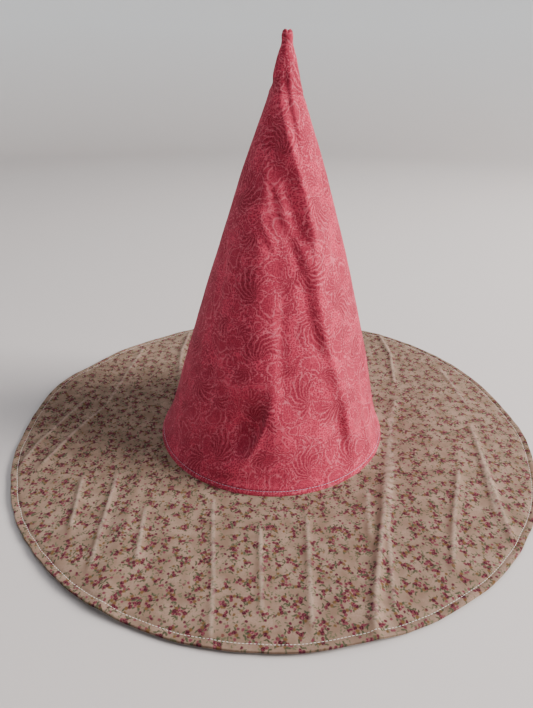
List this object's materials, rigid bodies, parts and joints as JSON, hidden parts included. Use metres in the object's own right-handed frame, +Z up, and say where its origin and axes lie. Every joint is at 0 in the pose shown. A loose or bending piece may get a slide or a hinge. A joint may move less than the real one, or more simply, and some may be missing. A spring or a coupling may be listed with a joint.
{
  "type": "conical hat",
  "caption": "Sewn cotton hat with a tall pointed conical crown, lined and stiffened, on a wide flat round brim with topstitched seams.",
  "frame": {"origin": "centre of the brim's underside, on the surface the hat rests on", "axes": "+Z up the crown's axis of revolution to the point, +Y towards the back seams, +X to the wearer's left"},
  "size_m": [0.4199, 0.42, 0.295],
  "materials": {
    "crown_cotton": "matte plain-weave cotton with a tone-on-tone scroll print",
    "brim_cotton": "matte plain-weave cotton with a small sprigged flower print",
    "lining_cotton": "matte plain-weave cotton with a small sprigged flower print",
    "interfacing": "matte bonded non-woven",
    "crown_thread": "satin polyester sewing thread",
    "brim_thread": "satin polyester sewing thread"
  },
  "bodies": {
    "root": {"crown_outer": "crown_cotton", "crown_interfacing": "interfacing", "crown_lining": "lining_cotton", "brim_top": "brim_cotton", "brim_interfacing": "interfacing", "brim_underside": "brim_cotton", "crown_back_seam_thread": "crown_thread", "lining_back_seam_thread": "crown_thread", "crown_to_brim_seam_thread": "crown_thread", "crown_topstitch_needle_thread": "crown_thread", "crown_topstitch_bobbin_thread": "crown_thread", "brim_edge_seam_thread": "brim_thread", "brim_topstitch_needle_thread": "brim_thread", "brim_topstitch_bobbin_thread": "brim_thread", "lining_hem_slipstitch_thread": "crown_thread"}
  },
  "joints": []
}
